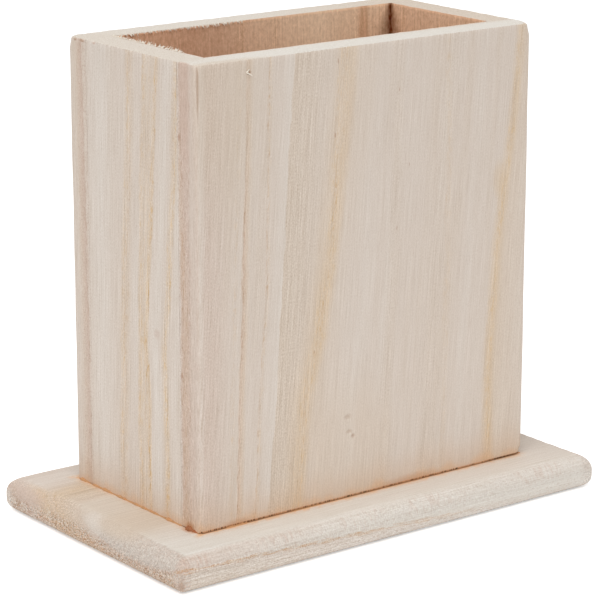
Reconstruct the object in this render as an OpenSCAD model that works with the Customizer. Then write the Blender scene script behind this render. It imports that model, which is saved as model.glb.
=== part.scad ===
// Wooden pen cup: an open-topped box of four upright boards, glued to a wider base plate.
// Millimetres, +Z up, front at -Y. The origin is the centre of the base plate's underside.

/* [Box] */
// Outside width of the box, left to right
box_w = 92.5; // [80:0.5:105]
// Outside depth of the box, front to back
box_d = 48.5; // [40:0.5:56]
// Height of the box above the base plate
box_h = 102; // [80:1:125]
// Thickness of the four upright boards
board_t = 7; // [5:0.5:9]
// Radius that sanding leaves on the four upright corners of the box
sanded_corner_r = 1; // [0.4:0.1:2]
// Radius that sanding leaves along the outer edge of the rim
sanded_rim_r = 0.4; // [0.2:0.1:1]

/* [Base plate] */
// Width of the base plate, left to right
base_w = 118; // [112:0.5:140]
// Depth of the base plate, front to back
base_d = 70; // [64:0.5:90]
// Thickness of the base plate
base_t = 8; // [7:0.5:12]
// Radius of the round run along the top edges
base_top_r = 3.6; // [1:0.1:5]
// Radius of the round run along the bottom edges
base_foot_r = 2.5; // [0.5:0.1:4]
// Radius that sanding leaves on the four upright corners
base_corner_r = 0.8; // [0.3:0.1:2]

/* [Glue] */
// Thickness of the glue in every joint
glue_t = 0.2; // [0.1:0.05:0.4]
// How far the glue lies back from the faces of the boards
glue_setback = 0.3; // [0.1:0.1:1]

/* [Hidden] */
$fn = 64;

// Overlap that keeps a cut or an intersection clear of the faces it crosses
slack = 1;

// The boards stand on the foot glue, and their tops are the rim
board_z = base_t + glue_t;
board_h = box_h - glue_t;

// Middle of a front or back board's thickness, and of a side board's
front_y = box_d / 2 - board_t / 2;
side_x = box_w / 2 - board_t / 2;

// A side board fills the gap between the front and back boards, less the glue at its two edges
side_d = box_d - 2 * board_t - 2 * glue_t;

// Middle of the glue between a side board's edge and the board that it meets
film_y = box_d / 2 - board_t - glue_t / 2;

// Part of a joint's width and height that the glue fills
film_w = board_t - 2 * glue_setback;
film_h = board_h - glue_setback;

sanded_wood = "#d9c6b3";
edge_wood = "#cfb9a5";
base_wood = "#dfccb7";
dried_glue = "#b5814a";

// What a round of radius r takes off a square corner at the origin, with the stock towards +X and +Y.
module corner_waste(r) {
    if (r > 0)
        difference() {
            translate([-slack, -slack]) square(r + slack);
            translate([r, r]) circle(r);
        }
}

// A w by h rectangle that stands on the X axis, with rounded bottom and top corners.
module edge_section(w, h, foot_r, top_r) {
    difference() {
        translate([-w / 2, 0]) square([w, h]);
        for (side = [0, 1])
            mirror([side, 0]) {
                translate([-w / 2, 0]) corner_waste(foot_r);
                translate([-w / 2, h]) mirror([0, 1]) corner_waste(top_r);
            }
    }
}

// A w by d by h block on the ground whose edges are rounded as a cutter leaves them: each round runs
// the full length of its edge, and two rounds that meet at a corner form a mitre.
module eased_block(w, d, h, corner_r, foot_r, top_r) {
    intersection() {
        translate([0, -d / 2, 0]) linear_extrude(h) edge_section(w, d, corner_r, corner_r);
        rotate([90, 0, 0]) linear_extrude(d + 2 * slack, center = true) edge_section(w, h, foot_r, top_r);
        rotate([90, 0, 90]) linear_extrude(w + 2 * slack, center = true) edge_section(d, h, foot_r, top_r);
    }
}

// A sawn board, taken down to the outside of the finished box: the box is glued up square and sanded as one.
module sanded_board(w, d, x, y) {
    translate([0, 0, board_z])
        intersection() {
            translate([x - w / 2, y - d / 2, 0]) cube([w, d, board_h]);
            eased_block(box_w, box_d, board_h, sanded_corner_r, 0, sanded_rim_r);
        }
}

module base_plate() {
    color(base_wood) eased_block(base_w, base_d, base_t, base_corner_r, base_foot_r, base_top_r);
}

module front_board() {
    color(sanded_wood) sanded_board(box_w, board_t, 0, -front_y);
}

module back_board() {
    color(sanded_wood) sanded_board(box_w, board_t, 0, front_y);
}

module left_side_board() {
    color(edge_wood) sanded_board(board_t, side_d, -side_x, 0);
}

module right_side_board() {
    color(edge_wood) sanded_board(board_t, side_d, side_x, 0);
}

// One film in each upright joint, short of the rim and of both faces.
module corner_glue_films() {
    color(dried_glue)
        for (x = [-side_x, side_x], y = [-film_y, film_y])
            translate([x - film_w / 2, y - glue_t / 2, board_z]) cube([film_w, glue_t, film_h]);
}

// One ring under the ends of the four boards.
module foot_glue_film() {
    outer = [box_w - 2 * glue_setback, box_d - 2 * glue_setback];
    inner = outer - 2 * [film_w, film_w];
    color(dried_glue)
        translate([0, 0, base_t])
            linear_extrude(glue_t)
                difference() {
                    square(outer, center = true);
                    square(inner, center = true);
                }
}

base_plate();
front_board();
back_board();
left_side_board();
right_side_board();
corner_glue_films();
foot_glue_film();
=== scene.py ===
"""A bare wooden pen cup, dressed for a plain studio picture.

Each packed board gets a finer mesh with uneven sanded edges, and a grain that runs through the whole board,
so that its faces, edges and ends agree. Torn fibres stand along the rim, and beads of dried glue lie at the
foot.
"""
import math
import random
from collections import namedtuple
from functools import partial

import bmesh
import bpy
from bpy.props import FloatProperty, FloatVectorProperty, IntProperty, PointerProperty
from bpy.types import Operator, Panel, PropertyGroup
from mathutils import Matrix, Vector, noise


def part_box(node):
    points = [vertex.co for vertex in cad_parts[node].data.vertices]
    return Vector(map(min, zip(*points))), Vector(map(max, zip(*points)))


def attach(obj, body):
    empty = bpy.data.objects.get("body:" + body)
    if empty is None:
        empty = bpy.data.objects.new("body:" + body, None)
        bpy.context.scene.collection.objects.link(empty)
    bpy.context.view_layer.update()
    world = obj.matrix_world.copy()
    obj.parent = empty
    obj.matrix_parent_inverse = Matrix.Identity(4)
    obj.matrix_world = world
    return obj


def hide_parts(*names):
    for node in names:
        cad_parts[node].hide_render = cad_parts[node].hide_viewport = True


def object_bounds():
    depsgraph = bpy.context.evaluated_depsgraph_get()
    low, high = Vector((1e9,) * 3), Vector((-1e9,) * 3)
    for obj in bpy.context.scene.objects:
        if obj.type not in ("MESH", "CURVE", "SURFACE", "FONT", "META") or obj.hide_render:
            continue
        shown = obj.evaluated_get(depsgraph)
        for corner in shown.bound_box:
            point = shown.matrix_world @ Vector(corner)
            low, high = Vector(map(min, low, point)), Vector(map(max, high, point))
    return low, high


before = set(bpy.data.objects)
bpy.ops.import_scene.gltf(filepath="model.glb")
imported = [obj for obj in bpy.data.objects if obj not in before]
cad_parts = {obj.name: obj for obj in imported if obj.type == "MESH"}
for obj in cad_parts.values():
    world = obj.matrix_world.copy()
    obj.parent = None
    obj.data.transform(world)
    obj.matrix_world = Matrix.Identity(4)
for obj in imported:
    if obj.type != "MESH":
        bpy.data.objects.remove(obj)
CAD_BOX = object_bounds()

bl_info = {
    "name": "Wooden pen cup",
    "version": (1, 0, 0),
    "blender": (4, 5, 0),
    "location": "3D View > Sidebar > Pen cup",
    "description": "Models the boards, glue and torn fibres of a bare wooden pen cup, and its studio",
    "category": "Object",
}

MM = 0.001

# The outside of the four upright boards together, the well between them and the base plate, in mm.
BOX_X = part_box("front_board")[1].x / MM
BOX_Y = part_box("back_board")[1].y / MM
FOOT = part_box("front_board")[0].z / MM
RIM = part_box("front_board")[1].z / MM
WELL_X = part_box("right_side_board")[0].x / MM
WELL_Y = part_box("back_board")[0].y / MM
BASE_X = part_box("base_plate")[1].x / MM
BASE_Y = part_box("base_plate")[1].y / MM
BASE_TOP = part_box("base_plate")[1].z / MM

# A band of colour along a growth ring. Its line passes through evenly spaced points from one end of the
# grain to the other, and fades over lead on one side and trail on the other, all in mm. The soft part of its
# colour is even, and the flecked part comes in short streaks.
Band = namedtuple("Band", "points lead trail soft flecked colour")

FRONT_BROWN_LINE = (-36.3, -35.5, -34.6, -33.6, -32.7)
FRONT_FAINT_LINE = (-31.8, -30.2, -28.5, -27.8, -27.1)
FRONT_MIDDLE_RING = (-20.1, -18.7, -17.8, -14.0, -11.9, -10.0, -8.9, -8.0, -7.0)
FRONT_BANDS = (
    Band((-45.0, -43.0), 2.0, 8.0, 0.37, 0.10, "rose"),
    Band((-38.3, -37.5, -36.7, -35.8, -34.9), 1.0, 1.0, 0.00, 0.20, "amber"),
    Band(FRONT_BROWN_LINE, 0.8, 1.8, 0.22, 0.16, "amber"),
    Band(FRONT_BROWN_LINE, 0.6, 1.2, 0.26, 0.20, "rose"),
    Band((-36.5, -35.7, -34.8, -33.9, -33.0), 0.35, 0.40, 0.10, 0.40, "russet"),
    Band(FRONT_FAINT_LINE, 0.5, 1.2, 0.04, 0.28, "amber"),
    Band(FRONT_FAINT_LINE, 0.25, 0.25, 0.04, 0.30, "russet"),
    Band((-28.1, -25.8, -23.9, -22.3, -20.7), 4.0, 0.3, 0.50, 0.0, "pale"),
    Band((-28.0, -25.7, -23.8, -22.2, -20.6), 0.3, 14.0, 0.62, 0.10, "tan"),
    Band((-19.6, -18.2, -17.2, -13.4, -11.2, -9.2, -7.6, -6.0, -4.8), 7.0, 2.6, 0.26, 0.08, "amber"),
    Band(FRONT_MIDDLE_RING, 2.6, 2.0, 0.02, 0.36, "amber"),
    Band(FRONT_MIDDLE_RING, 0.5, 0.5, 0.00, 0.20, "russet"),
    Band((-12.0, -9.0, -4.0, -1.0, 2.0), 4.0, 8.0, 0.14, 0.0, "pale"),
    Band((-16.0, -15.0, -13.0, -7.0, -3.0), 2.0, 9.0, 0.08, 0.0, "amber"),
    Band((4.0, 5.0, 6.5, 7.5, 8.5), 2.5, 2.5, 0.18, 0.16, "tan"),
    Band((17.0, 18.0, 19.5, 21.5, 24.0), 6.0, 5.0, 0.16, 0.08, "tan"),
    Band((21.5, 21.8, 22.3, 22.6, 22.0), 1.6, 1.6, 0.04, 0.16, "amber"),
    Band((35.3, 35.2, 35.4, 36.2, 37.2, 38.9, 40.9, 42.6, 43.7), 2.6, 2.4, 0.28, 0.10, "amber"),
    Band((35.2, 35.0, 35.3, 36.1, 37.1, 38.8, 40.7, 42.4, 43.4), 1.6, 1.5, 0.04, 0.32, "amber"),
    Band((36.0, 36.2, 37.6, 41.4, 45.5), 0.8, 16.0, 0.13, 0.0, "amber"),
)
FRONT_ENDS = (
    Band((5.2, 5.1, 4.9, 4.5, 4.2), 3.4, 2.2, 0.38, 0.28, "rose"),
    Band((5.4, 5.4, 5.2, 7.0, 8.6), 2.6, 1.6, 0.10, 0.14, "amber"),
    Band((5.7, 5.8, 5.6, 5.7, 5.6), 0.9, 0.8, 0.04, 0.26, "russet"),
    Band((3.4, 3.3, 3.2, 2.9, 2.7), 0.7, 0.6, 0.00, 0.30, "russet"),
    Band((1.2, 1.2), 2.4, 2.4, 0.26, 0.10, "rose"),
    Band((0.2, 0.2), 0.8, 0.6, 0.10, 0.40, "rose"),
    Band((7.0, 7.0), 0.9, 0.6, 0.60, 0.0, "pale"),
)
LEFT_BANDS = (
    Band((12.5, 12.2, 12.2, 11.6, 11.0), 6.0, 9.0, 0.60, 0.0, "pale"),
    Band((5.0, 5.0, 4.7, 4.4, 3.6, 3.1, 2.1, 1.1, 0.8), 3.0, 1.8, 0.12, 0.36, "amber"),
    Band((4.0, 4.0, 3.7, 3.4, 2.6, 2.1, 1.1, 0.1, -0.2), 3.0, 2.0, 0.16, 0.0, "tan"),
    Band((-1.7, -1.7, -1.8, -2.2, -2.3, -2.9, -3.5, -4.3, -5.0), 1.6, 1.0, 0.12, 0.40, "amber"),
    Band((-3.6, -3.5, -3.7, -3.2, -4.0, -5.1, -5.8, -6.6, -7.6), 2.8, 2.8, 0.12, 0.18, "amber"),
    Band((-5.8, -5.6, -5.8, -4.5, -5.6, -7.3, -8.1, -9.0, -10.2), 0.9, 1.6, 0.24, 0.56, "amber"),
    Band((-5.6, -5.4, -5.8, -4.5, -5.8, -7.5, -8.3, -9.2, -10.4), 0.5, 0.5, 0.00, 0.24, "russet"),
    Band((4.2, 4.1, 3.9, 3.5, 2.7, 2.2, 1.2, 0.2, -0.1), 1.2, 1.2, 0.00, 0.14, "russet"),
    Band((-9.0, -8.8, -8.8, -8.0, -9.2, -10.6, -11.6, -12.4, -13.6), 2.4, 2.4, 0.60, 0.0, "pale"),
    Band((-12.1, -12.2, -12.3, -11.5, -13.5, -14.3, -15.8, -16.3, -17.1), 1.6, 2.0, 0.18, 0.46, "amber"),
    Band((-15.6, -15.6, -16.2, -18.0, -21.0), 1.8, 2.4, 0.26, 0.0, "pale"),
)
BACK_BANDS = (
    Band((38.0, 37.2, 36.0, 34.6, 33.0), 1.4, 3.4, 0.24, 0.60, "amber"),
    Band((30.0, 29.0, 27.5, 26.4, 25.0), 0.3, 12.0, 0.80, 0.10, "tan"),
    Band((12.0, 13.4, 14.5, 15.4, 16.0), 5.0, 6.0, 0.45, 0.0, "pale"),
    Band((-2.0, -0.4, 1.0, 1.9, 2.5), 1.2, 1.2, 0.16, 0.55, "amber"),
    Band((-14.0, -11.2, -9.0, -7.8, -7.0), 3.4, 1.2, 0.24, 0.60, "amber"),
    Band((-28.0, -26.2, -25.0, -24.4, -24.0), 5.0, 4.0, 0.25, 0.0, "rose"),
    Band((-38.0, -36.6, -35.5, -35.1, -35.0), 1.0, 1.0, 0.20, 0.50, "amber"),
)
BACK_ENDS = (
    Band((5.8, 5.7, 5.5, 5.1, 4.7), 2.5, 0.9, 0.48, 0.20, "rose"),
    Band((6.3, 6.1, 5.8, 5.4, 5.0), 0.4, 0.4, 0.14, 0.26, "russet"),
    Band((4.6, 4.6, 4.2, 3.6, 3.2), 3.4, 2.4, 0.07, 0.06, "amber"),
)
RIGHT_BANDS = (
    Band((13.0, 12.6, 12.0, 10.8, 9.0), 1.4, 2.4, 0.20, 0.60, "amber"),
    Band((4.0, 4.3, 4.5, 3.5, 2.0), 3.0, 3.0, 0.45, 0.0, "pale"),
    Band((-3.5, -2.6, -2.0, -2.8, -4.0), 1.2, 1.2, 0.18, 0.55, "amber"),
    Band((-8.0, -7.4, -7.0, -8.0, -9.5), 0.4, 5.0, 0.60, 0.10, "tan"),
    Band((-14.0, -12.8, -12.0, -12.2, -13.0), 1.8, 1.4, 0.18, 0.60, "amber"),
)
BASE_RING = (5.2, 6.3, 7.5, 8.8, 10.0)
BASE_LINE = Band(BASE_RING, 0.45, 0.55, 0.26, 0.20, "amber")
BASE_DOTS = Band(BASE_RING, 1.4, 2.2, 0.32, 0.0, "russet")
BASE_BANDS = (
    Band((4.4, 5.7, 6.9, 8.3, 9.6), 14.0, 1.6, 0.90, 0.0, "cream"),
    Band((6.7, 8.0, 9.2, 10.6, 11.9), 2.2, 8.5, 0.80, 0.15, "tan"),
    Band((9.5, 10.8, 12.0, 13.4, 14.7), 3.4, 3.6, 0.22, 0.20, "amber"),
    Band((16.3, 17.6, 18.8, 20.2, 21.5), 3.0, 4.5, 0.60, 0.0, "pale"),
    Band((22.0, 23.3, 24.5, 25.9, 27.2), 1.5, 6.0, 0.50, 0.30, "tan"),
)
BASE_END_LINE = (9.7, 14.5)
BASE_ENDS = (
    Band((12.6, 17.4), 2.6, 7.0, 0.32, 0.16, "amber"),
    Band(BASE_END_LINE, 0.5, 0.6, 0.10, 0.44, "amber"),
    Band(BASE_END_LINE, 0.4, 0.4, 0.00, 0.20, "russet"),
    Band((11.4, 16.2), 0.6, 0.6, 0.14, 0.30, "tan"),
)

# The thick lump of glue at the near left foot of the box, and three small dents low on its front.
LUMP_Y = -20.4
GLUE_LUMP = (-BOX_X, LUMP_Y, FOOT)
UPPER_DENT = (-6.0, -BOX_Y, 26.9)
MIDDLE_DENT = (-5.6, -BOX_Y, 23.4)
LOWER_DENT = (-4.5, -BOX_Y, 22.2)

# A mark in a board's colour, round about a place, with its reach along x, y and z in mm.
Spot = namedtuple("Spot", "place reach strength colour")

FRONT_SPOTS = (
    Spot((-39.0, -BOX_Y, RIM), (15.0, 3.0, 48.0), 0.54, "tan"),
    Spot(UPPER_DENT, (1.5, 0.8, 0.80), 0.22, "brown"),
    Spot(MIDDLE_DENT, (1.4, 0.8, 0.65), 0.24, "brown"),
    Spot(LOWER_DENT, (0.80, 0.8, 0.75), 0.36, "russet"),
    Spot((-32.4, -BOX_Y, 107.1), (0.40, 0.8, 0.45), 0.60, "brown"),
    Spot((-9.0, -BOX_Y, 107.0), (0.25, 0.6, 0.90), 0.50, "russet"),
    Spot((-9.8, -BOX_Y, 91.0), (0.28, 0.6, 0.90), 0.55, "russet"),
    Spot((8.0, -BOX_Y, 99.0), (0.22, 0.6, 0.70), 0.45, "russet"),
    Spot((11.0, -BOX_Y, 82.0), (0.22, 0.6, 0.60), 0.40, "russet"),
    Spot((7.6, -BOX_Y, 68.0), (0.25, 0.6, 0.70), 0.40, "russet"),
    Spot((-15.4, -BOX_Y, 43.5), (0.25, 0.6, 0.60), 0.50, "russet"),
    Spot((37.4, -BOX_Y, 75.0), (2.40, 0.8, 6.00), 0.25, "amber"),
    Spot((-45.8, -BOX_Y, 106.0), (0.35, 0.8, 12.0), 0.48, "brown"),
    Spot((-4.0, -BOX_Y, 18.0), (14.0, 3.0, 24.0), 0.10, "amber"),
    Spot((-BOX_X, -19.8, 105.0), (0.9, 2.8, 26.0), 0.70, "rose"),
    Spot((-BOX_X, -17.9, 94.0), (0.60, 0.6, 1.20), 0.55, "russet"),
    Spot((-BOX_X, -17.9, 42.0), (0.60, 0.6, 1.00), 0.50, "russet"),
    Spot(GLUE_LUMP, (0.90, 2.4, 2.20), 0.70, "rust"),
    Spot((12.0, -BOX_Y, FOOT), (13.0, 1.0, 2.20), 0.30, "rust"),
    Spot((-36.5, -BOX_Y, FOOT), (5.0, 1.0, 1.80), 0.34, "rust"),
)
LEFT_SPOTS = (
    Spot((-BOX_X, -8.75, 49.3), (1.0, 1.6, 1.6), 0.40, "rose"),
    Spot((-BOX_X, 14.0, RIM - 0.4), (0.7, 0.9, 0.35), 0.45, "russet"),
)
BACK_SPOTS = (
    Spot((-BOX_X, 21.4, RIM - 0.5), (0.7, 0.9, 0.40), 0.55, "brown"),
    Spot((-BOX_X, 18.6, RIM - 0.5), (0.7, 1.3, 0.45), 0.60, "brown"),
    # The last two lie on the inside of the back wall: a darker reddish streak near its right corner and a
    # broad reddish cast on its left.
    Spot((31.0, WELL_Y, 98.0), (2.2, 1.0, 30.0), 0.44, "rust"),
    Spot((-14.0, WELL_Y, 100.0), (16.0, 1.0, 40.0), 0.16, "russet"),
)
BASE_SPOTS = (
    Spot((-54.0, -2.0, BASE_TOP), (22.0, 24.0, 4.0), 0.60, "tan"),
    Spot((-54.0, -9.0, BASE_TOP), (22.0, 10.0, 3.0), 0.60, "tan"),
    Spot((-54.0, 31.0, BASE_TOP), (14.0, 7.0, 3.0), 0.14, "rose"),
    Spot((-BASE_X, -BASE_Y, 1.6), (2.2, 3.0, 1.8), 0.30, "russet"),
    Spot((-BASE_X + 0.5, -BASE_Y + 0.5, 3.0), (0.9, 0.9, 3.2), 0.34, "brown"),
    Spot((-BASE_X, -1.0, 2.6), (1.6, 6.0, 1.8), 0.06, "rust"),
    Spot((-BASE_X, 26.0, 5.6), (3.4, 10.0, 3.0), 0.55, "rose"),
    Spot((-BASE_X + 1.0, 0.4, BASE_TOP), (3.4, 4.2, 3.6), 0.55, "pale"),
    Spot((-BASE_X, -2.0, 5.6), (2.4, 3.6, 3.0), 0.40, "pale"),
    Spot((-BOX_X - 0.4, LUMP_Y, BASE_TOP), (1.5, 3.0, 1.0), 0.50, "rust"),
)

# How a board was cut: the axes along and across its grain and through its thickness, the face that its bands
# are drawn on, how far a ring moves across for each mm of depth, how far the fibres lean for each mm along,
# how much the bands fade from the start of the grain to its end, how strong the fine grain is, and what the
# board shows.
Cut = namedtuple("Cut", "node along across deep face slant lean fade hair bands ends spots")
UPRIGHT_CUTS = (
    Cut("front_board", "z", "x", "y", -BOX_Y, 0.45, 0.08, 0.16, 0.50, FRONT_BANDS, FRONT_ENDS, FRONT_SPOTS),
    Cut("back_board", "z", "x", "y", BOX_Y, -0.45, -0.03, 0.16, 0.55, BACK_BANDS, BACK_ENDS, BACK_SPOTS),
    Cut("left_side_board", "z", "y", "x", -BOX_X, 0.45, -0.04, 0.36, 0.72, LEFT_BANDS, (), LEFT_SPOTS),
    Cut("right_side_board", "z", "y", "x", BOX_X, -0.45, -0.02, 0.36, 0.72, RIGHT_BANDS, (), ()),
)
BASE_CUT = Cut("base_plate", "x", "y", "z", BASE_TOP, 1.0, 0.0, 0.0, 0.55, BASE_BANDS, BASE_ENDS, BASE_SPOTS)

# The rings of the base plate are bowls. They rise with the square of the distance from this line along the
# plate, in mm.
BOWL_MIDDLE = -17.0
BOWL_RISE = 0.0083

# Wood that grew early in the year is smoother than the rest.
EARLY_WOOD = ("pale", "cream")

# How much the red, the green and the blue take of a change in brightness: by fine fibres, by the cutter's
# marks, by painted light on the walls of the well and by painted shade on them.
HAIR_TONE = (0.66, 0.82, 1.0)
NAP_TONE = (0.76, 0.96, 1.0)
LIFT_TONE = (0.20, 0.42, 0.53)
SHADE_TONE = (0.78, 0.92, 1.0)

# What lies on the walls of the well fades out between two depths behind them, in mm: the brown of the
# well's painted shade with its painted light and shade, and the walls' own outermost layer.
WELL_SKIN = (0.4, 0.6)
WALL_SKIN = (0.03, 0.06)

# Places where a board is dented, chipped or knocked round: the mark's reach and depth in mm, and the way
# that it goes.
Press = namedtuple("Press", "node place reach depth push")
INTO_FRONT = (0.0, 1.0, 0.0)
OFF_LEFT_RIM = (0.8, 0.0, -0.6)
PRESSES = (
    Press("front_board", UPPER_DENT, 0.95, 0.18, INTO_FRONT),
    Press("front_board", MIDDLE_DENT, 0.85, 0.16, INTO_FRONT),
    Press("front_board", LOWER_DENT, 0.60, 0.18, INTO_FRONT),
    Press("front_board", (-32.6, -BOX_Y, 107.0), 0.70, 0.35, INTO_FRONT),
    Press("front_board", (BOX_X, -BOX_Y, RIM), 3.2, 0.60, (-0.8, 0.3, -0.5)),
    Press("front_board", (BOX_X, -BOX_Y, FOOT), 2.2, 0.6, (-0.9, 0.3, 0.3)),
    Press("front_board", (-BOX_X, -BOX_Y, RIM), 1.8, 0.35, (0.6, 0.6, -0.5)),
    Press("back_board", (-BOX_X, BOX_Y, RIM), 2.8, 0.45, (0.8, -0.3, -0.5)),
    Press("back_board", (BOX_X, BOX_Y, RIM), 2.8, 0.45, (-0.7, -0.5, -0.5)),
    Press("back_board", (-BOX_X, 21.5, RIM), 0.70, 0.35, OFF_LEFT_RIM),
    Press("back_board", (-BOX_X, 18.5, RIM), 0.80, 0.45, OFF_LEFT_RIM),
    Press("left_side_board", (-BOX_X, 14.0, RIM), 0.70, 0.35, OFF_LEFT_RIM),
)

# Inner rim edges that the saw tore: from start to end in mm, the way the fibres stand, the way the wood
# broke, and the share of the tufts that an edge gets.
Tear = namedtuple("Tear", "node start end stand broke share")
WELL_CORNER = (-WELL_X, WELL_Y, RIM)
TEARS = (
    Tear("left_side_board", (-WELL_X, -10.0, RIM), WELL_CORNER, (0.55, 0.0, 0.45), (-0.6, 0.0, -0.4), 1.0),
    Tear("back_board", WELL_CORNER, (-4.0, WELL_Y, RIM), (0.0, -0.5, -0.8), (0.0, 0.6, -0.6), 0.9),
)

# The splinter at the nick on the front stands up in two points: the way each goes, its length and its radius
# in mm.
Splinter = namedtuple("Splinter", "way length radius")
NICK = (-33.3, -BOX_Y, 107.2)
SPLINTERS = (
    Splinter((0.85, -0.30, -0.55), 1.7, 0.20),
    Splinter((0.55, -0.30, 0.80), 1.0, 0.18),
)

# Beads of glue round the foot: from start to end in mm, and the radius as a share of the largest one.
Bead = namedtuple("Bead", "start end share")
BEADS = (
    Bead((-BOX_X, 23.4), (-BOX_X, -17.5), 0.45),
    Bead((-BOX_X, -18.6), (-BOX_X, -21.8), 1.0),
    Bead((-BOX_X, -20.6), (-BOX_X, -23.8), 0.50),
    Bead((-40.0, -BOX_Y), (-33.0, -BOX_Y), 0.24),
    Bead((-22.0, -BOX_Y), (-12.0, -BOX_Y), 0.16),
    Bead((BOX_X, -19.5), (BOX_X, 23.0), 0.60),
    Bead((-45.0, BOX_Y), (45.0, BOX_Y), 0.50),
)

# A point this near to a plane or a line counts as lying on it, in metres.
TOUCH = 0.01 * MM

# An edge goes along an axis when at least this share of its length does.
STRAIGHT = 0.99

# Faces that meet at more than this keep a sharp edge.
SHARP_EDGE = math.radians(38)

# Kinds of setting: a colour, a length and an angle.
Paint = partial(FloatVectorProperty, subtype="COLOR", size=3, min=0, max=1)
Length = partial(FloatProperty, unit="LENGTH")
Angle = partial(FloatProperty, subtype="ANGLE")


class PenCupWood(PropertyGroup):
    """Colours of the bare wood."""

    plain: Paint(
        name="Plain wood", default=(0.650, 0.563, 0.490),
        description="Ground colour of the boards")
    pale: Paint(
        name="Pale wood", default=(0.690, 0.625, 0.562),
        description="Early wood between the growth rings")
    tan: Paint(
        name="Tan wood", default=(0.605, 0.500, 0.400),
        description="Greyer late wood")
    rose: Paint(
        name="Rose wood", default=(0.575, 0.430, 0.352),
        description="Pinkish stretches and board ends")
    amber: Paint(
        name="Ring line", default=(0.640, 0.440, 0.225),
        description="Yellowish growth-ring lines")
    russet: Paint(
        name="Streaks", default=(0.400, 0.220, 0.140),
        description="Reddish-brown streaks")
    brown: Paint(
        name="Pores", default=(0.300, 0.155, 0.080),
        description="Brown pores, seen as dashes on a face and dots on an end")
    rust: Paint(
        name="Soaked wood", default=(0.500, 0.220, 0.085),
        description="Reddish wood that thick glue has soaked")
    pitch: Paint(
        name="Foot crack", default=(0.060, 0.026, 0.010),
        description="Dark dots in the open joint at the foot of the front board")
    stain: Paint(
        name="Foot stain", default=(0.740, 0.475, 0.285),
        description="Wood that thin glue has coloured above the foot")
    cream: Paint(
        name="Sawn rim", default=(0.700, 0.662, 0.602),
        description="Freshly sawn end grain and torn fibres")
    fibre: Paint(
        name="Torn fibres", default=(0.830, 0.770, 0.670),
        description="Loose fibres along the rim")
    # Painted shade: the warm brown that the deep well's shade and its bounced light give its walls.
    inside: Paint(
        name="Inside", default=(0.790, 0.510, 0.330),
        description="Unsanded wood inside the well")


class PenCupEdges(PropertyGroup):
    """How the boards were sawn and sanded."""

    corner_round: Length(
        name="Corner round", default=1.0 * MM,
        description="Radius on the upright outer corners of the box")
    rim_round: Length(
        name="Rim round", default=0.4 * MM,
        description="Radius on the outer edge of the rim")
    base_top_round: Length(
        name="Base top round", default=3.6 * MM,
        description="Radius along the top edges of the base plate")
    base_foot_round: Length(
        name="Base foot round", default=2.5 * MM,
        description="Radius along the bottom edges of the base plate")
    mitre_round: Length(
        name="Mitre round", default=0.45 * MM,
        description="Softening of the mitres at the base plate's corners")
    joint_fill: Length(
        name="Joint fill", default=0.16 * MM,
        description="How far a side board swells into the glue at each of its edges")
    spacing: Length(
        name="Mesh spacing", default=1.0 * MM,
        description="Distance between the points of a board's mesh")
    face_relief: Length(
        name="Face relief", default=0.025 * MM,
        description="Unevenness of a sanded face")
    edge_relief: Length(
        name="Edge relief", default=0.09 * MM,
        description="Unevenness of a sanded edge or a sawn end")


class PenCupGlue(PropertyGroup):
    """Dried glue that was pressed out of the foot joint."""

    colour: Paint(
        name="Dried glue", default=(0.560, 0.300, 0.140),
        description="Colour of the dried glue where it is thin")
    thick: Paint(
        name="Thick glue", default=(0.290, 0.070, 0.018),
        description="Colour of the dried glue where it is thick")
    bead: Length(
        name="Bead radius", default=0.95 * MM,
        description="Largest radius of a bead")


class PenCupFibres(PropertyGroup):
    """Torn fibres along the inner edges of the rim, and one splinter on the front."""

    tufts: IntProperty(
        name="Tufts", description="Tufts on the roughest edge of the rim", default=150, min=0)
    length: Length(
        name="Tuft length", default=1.0 * MM,
        description="Longest tuft")
    depth: Length(
        name="Tear depth", default=0.60 * MM,
        description="Deepest notch in a torn edge")
    seed: IntProperty(name="Seed", description="Choice of places and sizes", default=4)


class PenCupStudio(PropertyGroup):
    """Camera, lamps and floor."""

    camera_distance: Length(
        name="Camera distance", default=600.0 * MM,
        description="Level distance from the middle of the cup")
    camera_height: Length(
        name="Camera height", default=207.7 * MM,
        description="Height above the floor")
    camera_turn: Angle(
        name="Camera turn", default=math.radians(-37.46),
        description="Angle round the cup from straight in front")
    camera_aside: Angle(
        name="Camera aside", default=math.radians(0.06),
        description="How far the camera looks to the left of the middle")
    camera_pitch: Angle(
        name="Camera pitch", default=math.radians(14.94),
        description="How far the camera looks down")
    lens: FloatProperty(name="Lens", description="Focal length in mm on a 36 mm frame", default=163.4)
    sky: FloatProperty(name="Sky", description="Strength of the even light all round", default=0.66)
    key: FloatProperty(
        name="Key lamp", description="Power of the soft lamp above and to the left, in watts", default=7.4)
    key_place: FloatVectorProperty(
        name="Key lamp place", description="Where the soft lamp hangs",
        subtype="XYZ", unit="LENGTH", size=3, default=(-0.40, -0.35, 1.15))
    key_size: Length(
        name="Key lamp size", default=0.9,
        description="Width of the soft lamp")
    floor_size: Length(
        name="Floor", default=4.0,
        description="Distance from the middle of the floor to its sides")
    glow: FloatProperty(
        name="Floor glow", description="Light added to the floor as the camera sees it", default=0.40)


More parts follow.
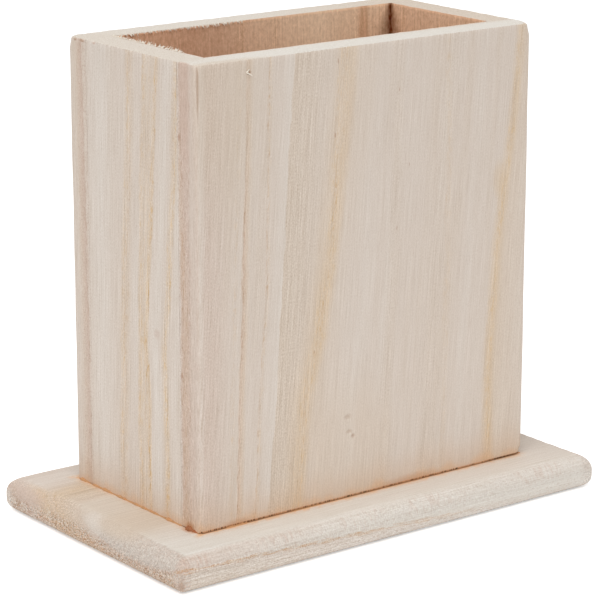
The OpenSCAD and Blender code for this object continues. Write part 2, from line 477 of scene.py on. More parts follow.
class Wire:
    """A shader socket that takes part in arithmetic. An expression adds the Math nodes that it needs."""

    def __init__(self, tree, socket=None):
        self.tree = tree
        self.socket = socket

    def node(self, kind, settings=None, inputs=None, output=0):
        """Adds a node of any kind. Its settings come first, then the values or links of its sockets."""
        made = self.tree.nodes.new(kind)
        for name, value in (settings or {}).items():
            setattr(made, name, value)
        for name, value in (inputs or {}).items():
            if isinstance(value, Wire):
                self.tree.links.new(value.socket, made.inputs[name])
            else:
                made.inputs[name].default_value = value
        return Wire(self.tree, made.outputs[output])

    def other(self, output):
        """Another output of the same node."""
        return Wire(self.tree, self.socket.node.outputs[output])

    def math(self, operation, *values):
        return self.node("ShaderNodeMath", {"operation": operation}, dict(enumerate(values)))

    def __add__(self, other):
        return self.math("ADD", self, other)

    def __sub__(self, other):
        return self.math("SUBTRACT", self, other)

    def __rsub__(self, other):
        return self.math("SUBTRACT", other, self)

    def __mul__(self, other):
        return self.math("MULTIPLY", self, other)

    def __abs__(self):
        return self.math("ABSOLUTE", self)

    def larger(self, other):
        return self.math("MAXIMUM", self, other)

    def step(self, start, end):
        """0 at start and 1 at end, smooth between. Start may be the larger."""
        settings = {"interpolation_type": "SMOOTHSTEP"}
        return self.node("ShaderNodeMapRange", settings, {"Value": self, "From Min": start, "From Max": end})

    def ramp(self, start, end):
        """0 at start and 1 at end, straight between and level outside."""
        return self.node("ShaderNodeMapRange", inputs={"Value": self, "From Min": start, "From Max": end})

    def tint(self, rgb, amount):
        """This colour, moved towards another by an amount from 0 to 1."""
        mix = {"data_type": "RGBA", "clamp_factor": True}
        return self.node("ShaderNodeMix", mix, {0: amount, 6: self, 7: solid(rgb)}, output=2)

    def vector(self, operation, *values, output=0):
        return self.node("ShaderNodeVectorMath", {"operation": operation}, dict(enumerate(values)), output)

    def scaled(self, amount):
        """This colour or vector, made larger or smaller."""
        return self.node("ShaderNodeVectorMath", {"operation": "SCALE"}, {0: self, "Scale": amount})

    def join(self, *parts):
        """A vector from three numbers."""
        return self.node("ShaderNodeCombineXYZ", inputs=dict(enumerate(parts)))

    def dyed(self, red, green, blue):
        """This colour, with each channel made stronger or weaker."""
        return self.vector("MULTIPLY", self, self.join(red, green, blue))

    def mottled(self, amount, tone):
        """This colour, lighter or darker by an amount about 0. Each channel takes its part of the tone."""
        return self.dyed(*(amount * part + 1.0 for part in tone))

    def colour(self, rgb):
        """A colour to start from."""
        made = self.node("ShaderNodeRGB")
        made.socket.default_value = solid(rgb)
        return made

    def noise(self, scale=1.0, detail=2.0):
        """Cloudy noise at this point, about 0.5 on average."""
        return self.node("ShaderNodeTexNoise", inputs={"Vector": self, "Scale": scale, "Detail": detail})

    def into(self, shader, name):
        self.tree.links.new(self.socket, shader.inputs[name])


def solid(rgb):
    return (*rgb, 1.0)


def start_material(name):
    """A new material with a Principled shader: the material, a Wire to build with, and the shader node."""
    material = bpy.data.materials.new(name)
    material.use_nodes = True
    tree = material.node_tree
    return material, Wire(tree), tree.nodes["Principled BSDF"]


def object_mm(wire):
    """A point in the part's own frame, in mm."""
    return wire.node("ShaderNodeTexCoord", output="Object").scaled(1 / MM)


class Grain:
    """Where a point is in its board: along the grain, across the face and deep below it, in mm."""

    def __init__(self, wire, cut):
        low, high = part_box(cut.node)
        start = getattr(low, cut.along) / MM
        length = getattr(high, cut.along) / MM - start
        self.point = object_mm(wire)
        parts = wire.node("ShaderNodeSeparateXYZ", inputs={0: self.point})
        self.place = {axis: parts.other(axis.upper()) for axis in "xyz"}
        self.along = self.place[cut.along] - start
        self.share = self.along * (1 / length)
        self.across = self.place[cut.across]
        self.leaned = self.across - self.along * cut.lean
        self.deep = abs(self.place[cut.deep] - cut.face)
        patches = self.streaks(0.7, 7.0, seed=83.0).step(0.38, 0.62)
        streaks = self.streaks(3.2, 6.0, detail=1.0, seed=41.0).step(0.44, 0.64)
        self.flecks = streaks * (patches * 0.9 + 0.4)
        self.ragged = self.streaks(2.2, 10.0, seed=53.0)

    def stretched(self, per_mm, stretch, seed=0.0):
        """A point for noise drawn out along the grain: cells per mm across it, and stretch times as long."""
        return self.along.join(
            self.leaned * per_mm + seed, self.deep * per_mm, self.along * (per_mm / stretch))

    def streaks(self, per_mm, stretch, detail=2.0, seed=0.0):
        return self.stretched(per_mm, stretch, seed).noise(detail=detail)

    def clouds(self, per_mm_x, per_mm_y, per_mm_z, detail=2.0):
        """Noise with its own number of cells per mm along each axis of the part."""
        return self.point.vector("MULTIPLY", self.point, (per_mm_x, per_mm_y, per_mm_z)).noise(detail=detail)

    def pores(self, per_mm, stretch, radius, share):
        """Long thin vessels, 1 inside one and 0 outside. Only a share of the cells holds one."""
        point = self.stretched(per_mm, stretch)
        cells = point.node("ShaderNodeTexVoronoi", {"feature": "F1"}, {"Vector": point, "Scale": 1.0})
        pick = cells.node("ShaderNodeSeparateColor", inputs={0: cells.other("Color")})
        return cells.step(radius, radius * 0.5) * pick.step(share + 0.05, share - 0.05)

    def follow(self, points):
        """A bent line through evenly spaced points, from one end of the board to the other."""
        spans = len(points) - 1
        line = points[0]
        for number in range(spans):
            rise = points[number + 1] - points[number]
            line = self.share.ramp(number / spans, (number + 1) / spans) * rise + line
        return line

    def band(self, rings, band):
        """1 on the band's line and 0 outside it."""
        offset = rings - self.follow(band.points)
        return offset.step(-band.lead, 0.0) * offset.step(band.trail, 0.0)

    def amount(self, band):
        """How much of its colour a band gives to this point."""
        return self.flecks * band.flecked + band.soft

    def spot(self, spot):
        """1 in the middle of a mark and 0 outside it."""
        away = self.point.vector("SUBTRACT", self.point, spot.place)
        away = away.vector("DIVIDE", away, spot.reach)
        return away.vector("LENGTH", away, output="Value").step(1.0, 0.3)


def slanted_rings(grain, cut):
    """Rings that cross the board's face as upright lines and slant through its thickness."""
    return grain.across + grain.deep * cut.slant


def bowl_rings(grain, cut):
    """Rings that lie as long bowls, one inside the other, under the board's face."""
    aside = grain.across - BOWL_MIDDLE
    return grain.deep * cut.slant + aside * aside * BOWL_RISE


def wood_material(name, cut, wood, rings_of, dress):
    """Bare wood with rings, fibres and pores that run through the board. dress adds what only it has."""
    material, wire, shader = start_material(name)
    grain = Grain(wire, cut)
    broad = grain.streaks(0.22, 18.0, seed=3.0)
    threads = grain.streaks(4.8, 90.0, detail=1.0, seed=17.0)
    fine = grain.streaks(4.4, 18.0, detail=1.0, seed=11.0)
    specks = grain.streaks(4.0, 1.8, detail=1.0, seed=71.0)
    wander = grain.streaks(0.12, 4.0, seed=29.0)
    vessels = grain.pores(3.2, 12.0, 0.30, 0.20)

    colour = wire.colour(wood.plain)
    colour = colour.tint(wood.pale, broad.step(0.50, 0.72) * 0.30)
    colour = colour.tint(wood.tan, broad.step(0.48, 0.28) * 0.25)
    rings = rings_of(grain, cut) + ((wander - 0.5) * 1.6 + (grain.ragged - 0.5) * 1.4)
    rough = broad.step(0.40, 0.20) * 0.5
    strength = (1.0 + cut.fade / 2) - grain.share * cut.fade
    for band in cut.bands:
        mask = grain.band(rings, band) * strength
        colour = colour.tint(getattr(wood, band.colour), mask * grain.amount(band))
        if band.colour not in EARLY_WOOD:
            rough = rough.larger(mask * (band.soft + band.flecked))
    colour = colour.tint(wood.russet, vessels * 0.14)
    colour = dress(colour, grain, cut, wood)
    for spot in cut.spots:
        colour = colour.tint(getattr(wood, spot.colour), grain.spot(spot) * spot.strength)
    hairs = (threads - 0.5) * 0.80 + (fine - 0.5) * 0.40 + (specks - 0.5) * 0.70
    colour = colour.mottled(hairs * (rough * 0.85 + cut.hair), HAIR_TONE)

    height = specks * 0.4 + threads * 0.5 - vessels * 0.5
    bump = height.node("ShaderNodeBump", inputs={"Height": height, "Strength": 0.2, "Distance": 0.12 * MM})
    colour.into(shader, "Base Color")
    (fine * 0.2 + 0.62).into(shader, "Roughness")
    bump.into(shader, "Normal")
    shader.inputs["Specular IOR Level"].default_value = 0.2
    return material


def dress_upright(colour, grain, cut, wood):
    """What only an upright board has: painted light towards its foot, coloured ends, the inside's painted
    shade, a sawn rim and a stained foot.
    """
    # Painted light: lighter towards the foot, standing in for light bounced up from the floor.
    colour = colour.scaled(1.07 - grain.share * 0.07)
    if cut.ends:
        colour = dress_board_ends(colour, grain, cut, wood)
    colour = dress_well(colour, grain, wood)
    colour = dress_rim(colour, grain, wood)
    return dress_foot(colour, grain, wood)


def dress_board_ends(colour, grain, cut, wood):
    """The pinkish, dusty ends of the front and back boards, on the sides of the box."""
    ends = abs(grain.place["x"]).step(BOX_X - 0.5, BOX_X - 0.1)
    depth = grain.deep + (grain.ragged - 0.5) * 1.6
    for band in cut.ends:
        amount = grain.band(depth, band) * grain.amount(band)
        colour = colour.tint(getattr(wood, band.colour), ends * amount)
    dust = grain.streaks(4.2, 1.5, detail=1.0, seed=97.0).step(0.52, 0.66)
    return colour.tint(wood.russet, ends * dust * grain.deep.step(2.4, 4.0) * 0.34)


def behind_walls(grain, near, far):
    """1 in the well and up to near mm behind its walls, and 0 from far mm on."""
    x, y, _ = grain.place.values()
    return abs(x).step(WELL_X + far, WELL_X + near) * abs(y).step(WELL_Y + far, WELL_Y + near)


def dress_well(colour, grain, wood):
    """The well: a warm brown of painted shade, painted lighter on the right and darker in the corners there
    and deep down, with rough unsanded grain, dark marks at the torn rim and a painted highlight under the
    rim.
    """
    x, y, z = grain.place.values()
    well = behind_walls(grain, *WELL_SKIN)
    # Painted shade: the warm brown that the well's shade and its bounced light give the walls.
    colour = colour.tint(wood.inside, well * 0.90)

    # Painted light: lighter towards the right of the well, less so close to the right wall.
    lit = x.ramp(-18.0, 18.0) - x.ramp(18.0, 34.0) * 0.28 - x.ramp(WELL_X - 2.0, WELL_X) * 0.4
    lift = (lit - 0.34) * well
    frayed = grain.clouds(2.6, 2.6, 1.2, detail=3.0).step(0.46, 0.62) * x.step(10.0, -14.0)
    # Dark marks where the rim is torn on the left, and painted shade deeper down in the well.
    torn = z.step(RIM - 1.3, RIM - 0.3) * frayed * 0.34 + (RIM - z).step(30.0, 80.0) * 0.2
    # Painted shade in the inner corners on the right, widening further down, with a dark line in the joint
    # itself.
    corner = (WELL_X - abs(x)) + (WELL_Y - abs(y))
    shade = corner.step((RIM - z) * 0.66 + 1.6, 0.0) * 0.70 + corner.step(1.1, 0.0) * 0.30
    shade = (x.step(0.0, 20.0) * shade + torn) * well
    fuzz = (grain.streaks(1.3, 1.6, seed=61.0) - 0.5) * well * 0.82
    # Painted highlight along the top of the walls, just under the rim.
    bright = behind_walls(grain, *WALL_SKIN) * z.step(RIM - 0.8, RIM - 0.1) * 0.24 + 1.0
    tones = zip(LIFT_TONE, HAIR_TONE, SHADE_TONE)
    return colour.dyed(*(lift * warm + fuzz * hair - shade * dark + bright for warm, hair, dark in tones))


def dress_rim(colour, grain, wood):
    """Cream sawn end grain on top, with tan pores. It is greyer behind the front board, and on the left."""
    x, y, z = grain.place.values()
    sawn = z.step(RIM - 0.22, RIM - 0.10) * (1.0 - behind_walls(grain, *WALL_SKIN))
    dots = grain.pores(2.6, 22.0, 0.34, 0.30)
    aged = y.step(-BOX_Y + 4.0, -WELL_Y + 1.0) * (x.ramp(0.0, BOX_X) * 0.52 + 0.26)
    aged = aged + x.step(-33.0, -42.0) * 0.16
    colour = colour.tint(wood.cream, sawn * 0.92)
    return colour.tint(wood.tan, sawn * (dots * 0.5 + aged))


def dress_foot(colour, grain, wood):
    """Wood that thin glue has stained above the foot, and dark dots in the joint under the front board."""
    x, y, z = grain.place.values()
    soak = grain.clouds(0.16, 0.16, 0.0, detail=3.0).step(0.30, 0.70)
    front = abs(y).step(BOX_Y - 1.0, BOX_Y - 0.4)
    above = z - FOOT - (soak - 0.5) * 2.0 - grain.ragged
    stain = above.step(9.0, -1.0) * 0.30 + above.step(1.8, -0.6) * 0.40
    colour = colour.tint(wood.stain, stain * (front * 0.20 + 0.80))

    crack = z.step(FOOT + 0.44, FOOT + 0.20) * y.step(-BOX_Y + 0.6, -BOX_Y + 0.3)
    dots = grain.clouds(2.3, 2.3, 0.0, detail=1.0).step(0.48, 0.54)
    spans = grain.clouds(0.22, 0.0, 0.0).step(0.40, 0.54).larger(x.step(-38.0, -40.0))
    open_end = x.step(33.0, 40.0) * 0.60
    colour = colour.tint(wood.rust, crack * 0.70)
    return colour.tint(wood.pitch, crack * (dots * (spans * 0.80 + 0.12)).larger(open_end))


# Parts of the base plate's surface, from 0 to 1: its short ends, its long sides, what is low down, what is
# below its main ring, and the main ring's own line. The ring is where a point is among the rings, and the
# grit is fine noise about 0.
BaseMasks = namedtuple("BaseMasks", "ends sides low below line ring grit")


def base_masks(grain, cut):
    x, y, z = grain.place.values()
    ring = bowl_rings(grain, cut) + (grain.ragged - 0.5) * 2.4
    return BaseMasks(
        ends=abs(x).step(BASE_X - 3.2, (BASE_X - 1.4) - y.step(2.0, -6.0) * 0.9),
        sides=abs(y).step(BASE_Y - 3.0, BASE_Y - 1.6),
        low=z.step(5.5, 2.0),
        below=(ring - grain.follow(BASE_RING)).step(-0.5, 0.9),
        line=grain.band(ring, BASE_LINE),
        ring=ring,
        grit=grain.clouds(3.4, 3.4, 3.4, detail=1.0) - 0.5)


def dress_base(colour, grain, cut, wood):
    """What only the base plate has: speckled ends, cutter marks on the long rounds, glue round the box."""
    masks = base_masks(grain, cut)
    colour = dress_base_ends(colour, grain, cut, wood, masks)
    colour = dress_base_sides(colour, grain, wood, masks)
    colour = rasp_base(colour, grain, wood, masks)
    return dress_base_top(colour, grain, wood)


def dress_base_ends(colour, grain, cut, wood, masks):
    """Sawn ends with brown and cream pores. The far part is smooth where the round meets the top."""
    _, y, z = grain.place.values()
    ends, low, below = masks.ends, masks.low, masks.below
    rough = ends * (1.0 - z.step(4.2, 5.6) * y.step(-3.0, 6.0) * 0.80)
    coarse = grain.pores(2.2, 9.0, 0.66, 0.50)
    small = grain.pores(2.9, 9.0, 0.64, 0.50)
    white = grain.pores(2.7, 9.0, 0.60, 0.45)
    colour = colour.scaled(1.0 - ends * (1.0 - below) * 0.12)
    colour = colour.tint(wood.rose, ends * (0.34 - below * 0.18))
    for band in cut.ends:
        amount = grain.band(masks.ring, band) * grain.amount(band)
        colour = colour.tint(getattr(wood, band.colour), ends * amount)
    colour = colour.tint(wood.rust, ends * (below * 0.04 + low * 0.02 + masks.line * 0.14))
    colour = colour.tint(wood.rust, rough * coarse * below * (low * 0.34 + 0.18))
    colour = colour.tint(wood.brown, rough * small * (below * (low * 0.28 + 0.16) + low * 0.12 + 0.30))
    return colour.tint(wood.cream, rough * white * (below * 0.20 + 0.60))


def dress_base_sides(colour, grain, wood, masks):
    """Long rounds, paler to the right and painted lighter low down, with pinkish ticks, the dotted main ring
    and a brown near corner.
    """
    x, y, z = grain.place.values()
    sides = masks.sides
    ticks = grain.clouds(1.9, 0.4, 0.4).step(0.48, 0.64) * z.step(3.6, 5.4)
    ticks = ticks * grain.clouds(0.16, 0.16, 0.16).step(0.40, 0.60)
    worn = x.ramp(-10.0, -BASE_X) * z.step(4.4, 6.2) * 0.50
    colour = colour.tint(wood.pale, sides * (masks.below * 0.72 + x.ramp(-40.0, 40.0) * 0.50))
    colour = colour.tint(wood.cream, sides * x.ramp(-10.0, 40.0) * (z.step(6.0, 3.5) * 0.40 + 0.12))
    colour = colour.tint(wood.rose, sides * (ticks * 0.34 + worn))
    # Painted light: lighter low down on the long sides, standing in for light bounced up from the floor.
    colour = colour.scaled(sides * z.step(4.6, 2.6) * 0.06 + 1.0)

    dots = masks.grit.step(-0.02, 0.12)
    line = masks.line * sides * (1.0 - x.ramp(-15.0, 32.0) * 0.9)
    strewn = grain.band(masks.ring, BASE_DOTS) * (1.0 - x.ramp(-35.0, 15.0) * 0.8)
    near_corner = x.step(-BASE_X + 3.5, -BASE_X + 0.8) * y.step(-BASE_Y + 5.0, -BASE_Y + 1.0)
    near_corner = near_corner * z.step(6.0, 4.0)
    colour = colour.tint(wood.amber, line * grain.amount(BASE_LINE))
    colour = colour.tint(wood.rust, line * (dots * 0.46 + grain.flecks * 0.26))
    return colour.tint(wood.russet, dots * (sides * strewn * BASE_DOTS.soft + near_corner * 0.46))


def rasp_base(colour, grain, wood, masks):
    """Roughness that the saw left on the ends, and the cutter on the long rounds."""
    x, _, z = grain.place.values()
    nap = grain.clouds(4.2, 1.7, 1.7, detail=1.0) - 0.5
    nap = nap * masks.sides * (0.56 - x.ramp(0.0, 50.0) * 0.36) * (1.0 - z.step(4.6, 3.2) * 0.5)
    dashes = grain.pores(3.0, 4.0, 0.42, 0.40)
    colour = colour.scaled(masks.ends * (masks.low * 0.65 + 0.60) * masks.grit + 1.0)
    colour = colour.mottled(nap, NAP_TONE)
    return colour.tint(wood.russet, masks.sides * dashes * (masks.below * 0.12 + 0.20))


def dress_base_top(colour, grain, wood):
    """A thin glue stain on the top, round the foot of the box. It fades to the right."""
    x, y, z = grain.place.values()
    outside = (abs(x) - BOX_X).larger(abs(y) - BOX_Y)
    soak = grain.clouds(0.5, 0.5, 0.5)
    stain = outside.step(0.70, 0.10) + outside.step(2.6, 0.2) * (soak.step(0.40, 0.62) * 0.7 + 0.3)
    stain = stain * (abs(y).step(BOX_Y - 1.0, BOX_Y) * 0.34 + 0.46)
    stain = stain * (1.0 - x.ramp(-10.0, BOX_X - 2.0) * 0.40 - x.step(BOX_X - 2.0, BOX_X) * 0.40)
    return colour.tint(wood.stain, stain * z.step(BASE_TOP - 0.4, BASE_TOP - 0.2))


def glue_material(name, glue):
    """Dried amber glue, darker and redder where it lies thick at the near left corner."""
    material, wire, shader = start_material(name)
    point = object_mm(wire)
    cloud = point.noise(scale=0.6, detail=3.0)
    lump = point.vector("SUBTRACT", point, GLUE_LUMP)
    near = lump.vector("LENGTH", lump, output="Value").step(4.0, 1.5)
    colour = wire.colour(glue.colour).tint(glue.thick, near * 0.70 + cloud.step(0.5, 0.7) * 0.3)
    colour.scaled(cloud * 0.9 + 0.55).into(shader, "Base Color")
    (cloud * 0.3 + 0.4).into(shader, "Roughness")
    shader.inputs["Specular IOR Level"].default_value = 0.25
    return material


def fibre_material(name, wood):
    """Loose bright fibres."""
    material, wire, shader = start_material(name)
    cloud = object_mm(wire).noise(scale=1.6)
    colour = wire.colour(wood.fibre).tint(wood.tan, cloud.step(0.5, 0.75) * 0.4)
    colour.into(shader, "Base Color")
    shader.inputs["Roughness"].default_value = 0.8
    return material


def add_piece(name, work, material, replaces=()):
    """Turns a bmesh into a piece of the cup that rides on its only body."""
    bmesh.ops.recalc_face_normals(work, faces=work.faces)
    mesh = bpy.data.meshes.new(name)
    work.to_mesh(mesh)
    work.free()
    mesh.materials.append(material)
    mesh.shade_smooth()
    mesh.set_sharp_from_angle(angle=SHARP_EDGE)
    piece = bpy.data.objects.new(name, mesh)
    bpy.context.scene.collection.objects.link(piece)
    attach(piece, "root")
    if replaces:
        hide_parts(*replaces)


def sawn_block(node, swell=0.0):
    """A bmesh box in the place of a packed board, a little longer in y by swell at each end."""
    low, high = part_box(node)
    size = high - low
    size.y += 2 * swell
    work = bmesh.new()
    bmesh.ops.create_cube(work, size=1.0)
    bmesh.ops.scale(work, vec=size, verts=work.verts)
    bmesh.ops.translate(work, vec=(low + high) / 2, verts=work.verts)
    return work


def round_edges(work, edges, radius, segments):
    bmesh.ops.bevel(
        work, geom=edges, offset=radius, offset_type="OFFSET", segments=segments, profile=0.5,
        affect="EDGES", material=-1, clamp_overlap=False)


def cut_up(work, spacing):
    """Cuts the long edges into even lengths, one axis at a time, so that the faces become grids."""
    longest_kept = 3 * spacing
    for axis in range(3):
        runs = []
        for edge in work.edges:
            span = edge.verts[1].co - edge.verts[0].co
            if abs(span[axis]) > STRAIGHT * span.length and span.length > longest_kept:
                runs.append(edge)
        if runs:
            cuts = round(max(edge.calc_length() for edge in runs) / spacing) - 1
            bmesh.ops.subdivide_edges(work, edges=runs, cuts=cuts, use_grid_fill=True)


def gap(point, start, end):
    """Distance from a point to a straight run."""
    run = end - start
    share = 0.0
    if run.length > 0:
        share = min(1.0, max(0.0, (point - start).dot(run) / run.length_squared))
    return (point - start - run * share).length


def refine(work, start, end, reach, cuts):
    """Cuts the faces near a straight run into smaller ones."""
    near = [face for face in work.faces if gap(face.calc_center_median(), start, end) < reach]
    edges = list(dict.fromkeys(edge for face in near for edge in face.edges))
    bmesh.ops.subdivide_edges(work, edges=edges, cuts=cuts, use_grid_fill=True)


def wear(work, cut, edges):
    """Moves the points a little in or out: long low waves on faces, more on edges and ends, none below."""
    waves_per_mm = 0.6
    drawn_out = 0.15
    downward = -0.3
    level = 0.97
    work.normal_update()
    along = "xyz".index(cut.along)
    for vert in work.verts:
        normal = vert.normal
        if normal.z < downward:
            continue
        point = vert.co / MM
        point[along] *= drawn_out
        flat = max(abs(part) for part in normal) > level and abs(normal[along]) < level
        depth = edges.face_relief if flat else edges.edge_relief
        vert.co += normal * (noise.noise(point * waves_per_mm) * depth)


def press_in(work, press):
    """Dents, chips or rounds over one place of a board."""
    place = Vector(press.place) * MM
    reach = press.reach * MM
    margin = 0.6 * MM
    cuts = 5 if press.reach < 1 else 2
    refine(work, place, place, reach + margin, cuts)
    push = Vector(press.push).normalized()
    for vert in work.verts:
        away = (vert.co - place).length / reach
        if away < 1:
            vert.co += push * (press.depth * MM * (1 - away * away) ** 2)


def tear_edge(work, tear, depth, draw):
    """Breaks small notches out of an inner rim edge."""
    start = Vector(tear.start) * MM
    end = Vector(tear.end) * MM
    edge_width = 0.12 * MM
    refine(work, start, end, reach=0.9 * MM, cuts=3)
    broke = Vector(tear.broke)
    for vert in work.verts:
        if gap(vert.co, start, end) < edge_width:
            vert.co += broke * (depth * draw.random() ** 2)


def lies_on(edge, axis, value):
    """Whether an edge lies on the plane at a value in mm along an axis."""
    return all(abs(vert.co[axis] - value * MM) < TOUCH for vert in edge.verts)


def upright_corners(work):
    """The outer upright corners of the box."""
    sides = ((0, -BOX_X), (0, BOX_X), (1, -BOX_Y), (1, BOX_Y))
    return [edge for edge in work.edges if sum(lies_on(edge, *side) for side in sides) == 2]


def outer_rim(work, reach):
    """The edges of the rim that are on the outside of the box, round its corners too."""
    rim = []
    for edge in work.edges:
        middle = (edge.verts[0].co + edge.verts[1].co) / 2
        outside = max(abs(middle.x) - BOX_X * MM, abs(middle.y) - BOX_Y * MM)
        if lies_on(edge, 2, RIM) and outside > -reach:
            rim.append(edge)
    return rim


def mitres(work):
    """The edges where two rounded sides of the base plate meet."""
    def on_mitre(point):
        return abs((BASE_X * MM - abs(point.x)) - (BASE_Y * MM - abs(point.y))) < TOUCH
    slopes = [edge for edge in work.edges if all(on_mitre(vert.co) for vert in edge.verts)]
    return [edge for edge in slopes if edge.verts[0].co.z != edge.verts[1].co.z]


class PENCUP_OT_upright_boards(Operator):
    """Model the four upright boards"""

    bl_idname = "pencup.upright_boards"
    bl_label = "Upright boards"

    def execute(self, context):
        wood = context.scene.pencup_wood
        edges = context.scene.pencup_edges
        fibres = context.scene.pencup_fibres
        draw = random.Random(fibres.seed)
        for cut in UPRIGHT_CUTS:
            work = sawn_block(cut.node, edges.joint_fill if cut.across == "y" else 0.0)
            corners = upright_corners(work)
            if corners:
                round_edges(work, corners, edges.corner_round, 4)
            round_edges(work, outer_rim(work, edges.corner_round), edges.rim_round, 2)
            cut_up(work, edges.spacing)
            wear(work, cut, edges)
            for press in PRESSES:
                if press.node == cut.node:
                    press_in(work, press)
            for tear in TEARS:
                if tear.node == cut.node:
                    tear_edge(work, tear, fibres.depth, draw)
            name = cut.node + "_wood"
            material = wood_material(name, cut, wood, slanted_rings, dress_upright)
            add_piece(name, work, material, [cut.node])
        return {"FINISHED"}


class PENCUP_OT_base_plate(Operator):
    """Model the base plate with its rounded, mitred edge"""

    bl_idname = "pencup.base_plate"
    bl_label = "Base plate"

    def execute(self, context):
        edges = context.scene.pencup_edges
        cut = BASE_CUT
        work = sawn_block(cut.node)
        rounds = ((BASE_TOP, edges.base_top_round, 8), (0.0, edges.base_foot_round, 5))
        for height, radius, segments in rounds:
            border = [edge for edge in work.edges if lies_on(edge, 2, height)]
            round_edges(work, border, radius, segments)
        round_edges(work, mitres(work), edges.mitre_round, 2)
        cut_up(work, edges.spacing)
        wear(work, cut, edges)
        name = cut.node + "_wood"
        material = wood_material(name, cut, context.scene.pencup_wood, bowl_rings, dress_base)
        add_piece(name, work, material, [cut.node])
        return {"FINISHED"}


class PENCUP_OT_glue(Operator):
    """Colour the glue in the joints and model the beads pressed out at the foot"""

    bl_idname = "pencup.glue"
    bl_label = "Dried glue"

    def execute(self, context):
        glue = context.scene.pencup_glue
        material = glue_material("dried_glue", glue)
        for node in ("corner_glue_films", "foot_glue_film"):
            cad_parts[node].data.materials.clear()
            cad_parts[node].data.materials.append(material)
        work = bmesh.new()
        for number, bead in enumerate(BEADS):
            start = Vector((*bead.start, BASE_TOP)) * MM
            end = Vector((*bead.end, BASE_TOP)) * MM
            self.add_bead(work, start, end, bead.share * glue.bead, number)
        add_piece("foot_glue_beads", work, material)
        return {"FINISHED"}

    def add_bead(self, work, start, end, radius, seed):
        """Adds a bead from start to end, thick and thin by turns, half sunk in the corner that it fills."""
        ring_spacing = 0.45 * MM
        long_waves, short_waves = 0.32, 1.1
        thinnest, usual, thickest = 0.15, 0.78, 1.4
        row = seed * 7.0
        run = end - start
        way = run.normalized()
        turn = run.to_track_quat("Z", "Y").to_matrix().to_4x4()
        thread = bmesh.new()
        bmesh.ops.create_cone(
            thread, cap_ends=True, segments=10, radius1=radius, radius2=radius, depth=run.length,
            matrix=Matrix.Translation((start + end) / 2) @ turn)
        lengths = [edge for edge in thread.edges if edge.calc_length() > 0.9 * run.length]
        bmesh.ops.subdivide_edges(thread, edges=lengths, cuts=round(run.length / ring_spacing))
        for vert in thread.verts:
            reached = (vert.co - start).dot(way)
            axis = start + way * reached
            far = reached / MM
            waves = noise.noise(Vector((far * long_waves, row, 0.0)))
            waves += 0.5 * noise.noise(Vector((far * short_waves, row, 5.0)))
            swell = min(thickest, max(thinnest, usual + 1.1 * waves))
            to_end = min(reached, run.length - reached) / MM
            vert.co = axis + (vert.co - axis) * (swell * min(1.0, thinnest + to_end * 0.8))
        mesh = bpy.data.meshes.new("bead")
        thread.to_mesh(mesh)
        thread.free()
        work.from_mesh(mesh)
        bpy.data.meshes.remove(mesh)


class PENCUP_OT_rim_fibres(Operator):
    """Scatter torn fibres along the inner edges of the rim and raise a splinter on the front"""

    bl_idname = "pencup.rim_fibres"
    bl_label = "Rim fibres"

    def execute(self, context):
        fibres = context.scene.pencup_fibres
        draw = random.Random(fibres.seed)
        spread = 0.45
        shortest = 0.25
        thinnest, thickest = 0.07, 0.18
        work = bmesh.new()
        for tear in TEARS:
            start = Vector(tear.start) * MM
            end = Vector(tear.end) * MM
            for _ in range(round(fibres.tufts * tear.share)):
                root = start.lerp(end, draw.random())
                way = Vector(tear.stand) + Vector([draw.uniform(-spread, spread) for _ in range(3)])
                length = fibres.length * (shortest + (1 - shortest) * draw.random() ** 2)
                self.add_sliver(work, root, way, length, draw.uniform(thinnest, thickest) * MM)
        nick = Vector(NICK) * MM
        for splinter in SPLINTERS:
            self.add_sliver(work, nick, Vector(splinter.way), splinter.length * MM, splinter.radius * MM)
        material = fibre_material("torn_fibres", context.scene.pencup_wood)
        add_piece("torn_fibres", work, material)
        return {"FINISHED"}

    def add_sliver(self, work, root, way, length, radius):
        """Adds one pointed fibre that stands a little into the wood at its root."""
        centre_at = 0.4
        tip = 0.25
        way = way.normalized()
        middle = root + way * (length * centre_at)
        turn = way.to_track_quat("Z", "Y").to_matrix().to_4x4()
        bmesh.ops.create_cone(
            work, cap_ends=True, segments=4, radius1=radius, radius2=radius * tip, depth=length,
            matrix=Matrix.Translation(middle) @ turn)


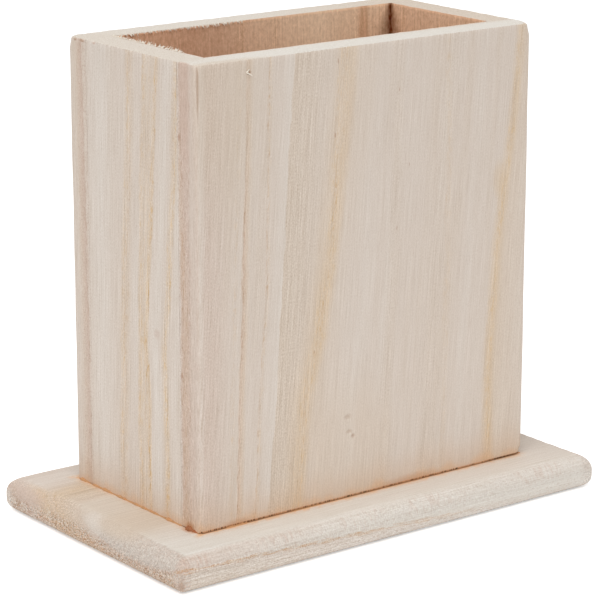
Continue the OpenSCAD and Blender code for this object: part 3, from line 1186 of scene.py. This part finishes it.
class PENCUP_OT_studio(Operator):
    """Set up the floor, the lamps and the camera"""

    bl_idname = "pencup.studio"
    bl_label = "Studio"

    def execute(self, context):
        studio = context.scene.pencup_studio
        self.add_floor(studio.floor_size, studio.glow)
        self.add_sky(context.scene, studio.sky)
        self.add_lamp("key_lamp", Vector(studio.key_place), studio.key_size, studio.key)
        self.add_camera(context.scene, studio)
        context.scene.view_settings.view_transform = "Standard"
        return {"FINISHED"}

    def seen(self, wire):
        """1 for what the camera sees, straight, mirrored or through glass, and 0 for other light."""
        path = wire.node("ShaderNodeLightPath")
        mirrored = path.other("Is Glossy Ray").larger(path.other("Is Transmission Ray"))
        return path.other("Is Camera Ray").larger(mirrored)

    def add_floor(self, size, glow):
        work = bmesh.new()
        bmesh.ops.create_grid(work, x_segments=1, y_segments=1, size=size)
        mesh = bpy.data.meshes.new("floor")
        work.to_mesh(mesh)
        work.free()
        material, wire, shader = start_material("floor")
        shader.inputs["Base Color"].default_value = (0.97, 0.97, 0.97, 1.0)
        shader.inputs["Roughness"].default_value = 0.9
        shader.inputs["Specular IOR Level"].default_value = 0.0
        wire.colour((0, 0, 0)).tint((1, 1, 1), self.seen(wire)).into(shader, "Emission Color")
        shader.inputs["Emission Strength"].default_value = glow
        mesh.materials.append(material)
        floor = bpy.data.objects.new("floor", mesh)
        bpy.context.scene.collection.objects.link(floor)

    def add_sky(self, scene, strength):
        world = bpy.data.worlds.new("studio")
        world.use_nodes = True
        scene.world = world
        background = world.node_tree.nodes["Background"]
        background.inputs["Color"].default_value = (1.0, 1.0, 1.0, 1.0)
        wire = Wire(world.node_tree)
        (self.seen(wire) * (1 - strength) + strength).into(background, "Strength")

    def add_lamp(self, name, place, size, power):
        lamp = bpy.data.lights.new(name, "AREA")
        lamp.shape = "DISK"
        lamp.size = size
        lamp.energy = power
        holder = bpy.data.objects.new(name, lamp)
        middle = (CAD_BOX[0] + CAD_BOX[1]) / 2
        holder.location = place
        holder.rotation_euler = (middle - place).to_track_quat("-Z", "Y").to_euler()
        bpy.context.scene.collection.objects.link(holder)

    def add_camera(self, scene, studio):
        turn = studio.camera_turn
        data = bpy.data.cameras.new("camera")
        data.lens = studio.lens
        data.clip_start = 10 * MM
        camera = bpy.data.objects.new("camera", data)
        camera.location = (
            math.sin(turn) * studio.camera_distance,
            -math.cos(turn) * studio.camera_distance,
            studio.camera_height)
        camera.rotation_euler = (math.radians(90) - studio.camera_pitch, 0.0, turn + studio.camera_aside)
        scene.collection.objects.link(camera)
        scene.camera = camera


STEPS = (
    PENCUP_OT_upright_boards,
    PENCUP_OT_base_plate,
    PENCUP_OT_glue,
    PENCUP_OT_rim_fibres,
    PENCUP_OT_studio,
)


class PENCUP_PT_sidebar(Panel):
    """Steps that make the pen cup, in order"""

    bl_idname = "PENCUP_PT_sidebar"
    bl_label = "Wooden pen cup"
    bl_space_type = "VIEW_3D"
    bl_region_type = "UI"
    bl_category = "Pen cup"

    def draw(self, context):
        for step in STEPS:
            self.layout.operator(step.bl_idname)


SETTINGS = {
    "pencup_wood": PenCupWood,
    "pencup_edges": PenCupEdges,
    "pencup_glue": PenCupGlue,
    "pencup_fibres": PenCupFibres,
    "pencup_studio": PenCupStudio,
}


def register():
    for group in SETTINGS.values():
        bpy.utils.register_class(group)
    for name, group in SETTINGS.items():
        setattr(bpy.types.Scene, name, PointerProperty(type=group))
    for step in STEPS:
        bpy.utils.register_class(step)
    bpy.utils.register_class(PENCUP_PT_sidebar)


def unregister():
    bpy.utils.unregister_class(PENCUP_PT_sidebar)
    for step in reversed(STEPS):
        bpy.utils.unregister_class(step)
    for name, group in SETTINGS.items():
        delattr(bpy.types.Scene, name)
        bpy.utils.unregister_class(group)


def main():
    register()
    bpy.ops.pencup.upright_boards()
    bpy.ops.pencup.base_plate()
    bpy.ops.pencup.glue()
    bpy.ops.pencup.rim_fibres()
    bpy.ops.pencup.studio()


if __name__ == "__main__":
    main()
